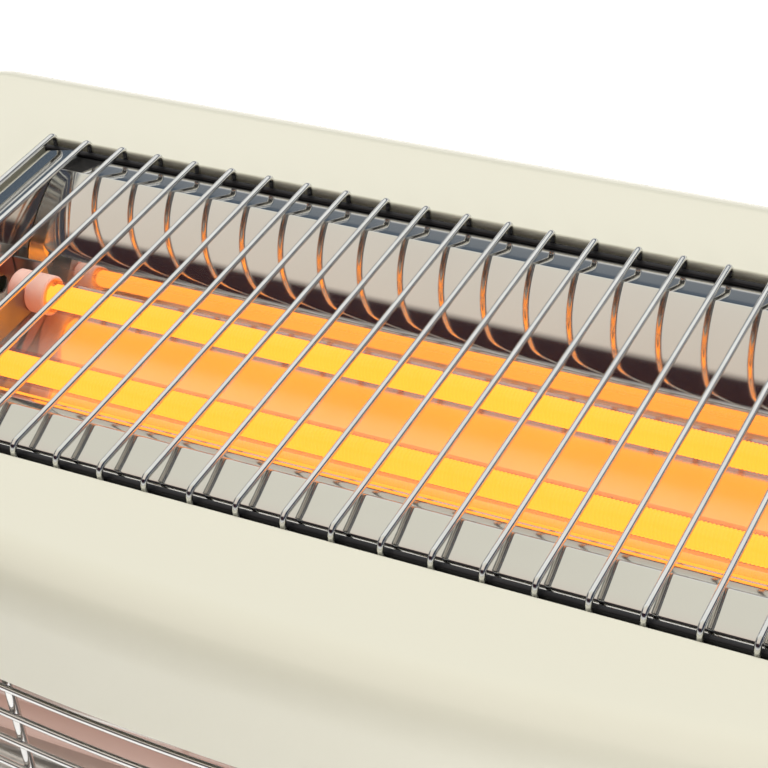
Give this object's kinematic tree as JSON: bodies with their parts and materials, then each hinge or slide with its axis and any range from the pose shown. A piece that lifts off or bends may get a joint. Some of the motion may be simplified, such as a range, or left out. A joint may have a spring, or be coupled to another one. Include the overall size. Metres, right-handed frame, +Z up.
{
  "type": "electric bar heater",
  "caption": "Low free-standing heater with a bowed cream casing, lit quartz tubes in polished troughs, and chrome wire guards on its deck and front.",
  "frame": {"origin": "on the floor, under the middle of the whole heater", "axes": "+X along the heater to the right as seen from the front, +Y to the back, +Z up"},
  "size_m": [0.5, 0.2586, 0.1937],
  "materials": {
    "cream_enamel": "smooth cream enamel with a soft gloss",
    "polished_aluminium": "mirror-polished sheet",
    "chrome_wire": "bright chrome-plated wire",
    "zinc_steel": "zinc-plated steel",
    "quartz_glass": "clear quartz, lit from inside",
    "glowing_coil": "resistance wire glowing orange",
    "ceramic": "unglazed steatite",
    "black_plastic": "fine-grained moulding",
    "rocker_plastic": "glossy moulding",
    "white_plastic": "plain moulding",
    "rubber_foot": "moulded rubber"
  },
  "bodies": {
    "heater_body": {"casing": "cream_enamel", "rear_panel": "cream_enamel", "base_plate": "zinc_steel", "upper_reflector": "polished_aluminium", "lower_reflector": "polished_aluminium", "upper_guard": "chrome_wire", "lower_guard": "chrome_wire", "heat_shield": "zinc_steel", "thermal_cut_out": "black_plastic", "tip_switch_body": "black_plastic", "terminal_block": "ceramic", "cord_gland": "black_plastic", "upper_end_plate_left": "polished_aluminium", "lower_end_plate_left": "polished_aluminium", "upper_tube_bracket_left": "zinc_steel", "lower_tube_bracket_left": "zinc_steel", "handle_bracket_left": "zinc_steel", "upper_end_plate_right": "polished_aluminium", "lower_end_plate_right": "polished_aluminium", "upper_tube_bracket_right": "zinc_steel", "lower_tube_bracket_right": "zinc_steel", "handle_bracket_right": "zinc_steel", "upper_front_tube": "quartz_glass", "upper_front_element": "glowing_coil", "upper_front_cap_left": "ceramic", "upper_front_cap_right": "ceramic", "upper_rear_tube": "quartz_glass", "upper_rear_element": "glowing_coil", "upper_rear_cap_left": "ceramic", "upper_rear_cap_right": "ceramic", "lower_bottom_tube": "quartz_glass", "lower_bottom_element": "glowing_coil", "lower_bottom_cap_left": "ceramic", "lower_bottom_cap_right": "ceramic", "lower_top_tube": "quartz_glass", "lower_top_element": "glowing_coil", "lower_top_cap_left": "ceramic", "lower_top_cap_right": "ceramic", "foot_1": "rubber_foot", "foot_screw_1": "zinc_steel", "rear_screw_1": "zinc_steel", "foot_2": "rubber_foot", "foot_screw_2": "zinc_steel", "rear_screw_2": "zinc_steel", "foot_3": "rubber_foot", "foot_screw_3": "zinc_steel", "rear_screw_3": "zinc_steel", "foot_4": "rubber_foot", "foot_screw_4": "zinc_steel", "rear_screw_4": "zinc_steel", "switch_bezel_1": "black_plastic", "switch_bezel_2": "black_plastic"},
    "rocker_front": {"rocker_1": "rocker_plastic"},
    "rocker_rear": {"rocker_2": "rocker_plastic"},
    "handle": {"handle_bail": "zinc_steel", "handle_grip": "black_plastic"},
    "plunger": {"tip_switch_plunger": "white_plastic"}
  },
  "joints": [
    {"name": "rocker_front_rock", "type": "hinge", "parent": "heater_body", "child": "rocker_front", "pos_m": [0.21, -0.01815, 0.1891], "axis": [1, 0, 0], "range_deg": [-20, 0]},
    {"name": "rocker_rear_rock", "type": "hinge", "parent": "heater_body", "child": "rocker_rear", "pos_m": [0.21, 0.02385, 0.1891], "axis": [1, 0, 0], "range_deg": [-20, 0]},
    {"name": "handle_swing", "type": "hinge", "parent": "heater_body", "child": "handle", "pos_m": [0, 0.12225, 0.14], "axis": [1, 0, 0], "range_deg": [0, 90]},
    {"name": "plunger_slide", "type": "slide", "parent": "heater_body", "child": "plunger", "axis": [0, 0, -1], "range_m": [0, 0.006], "stiffness_N_per_m": 60, "springref_m": 0.008}
  ]
}
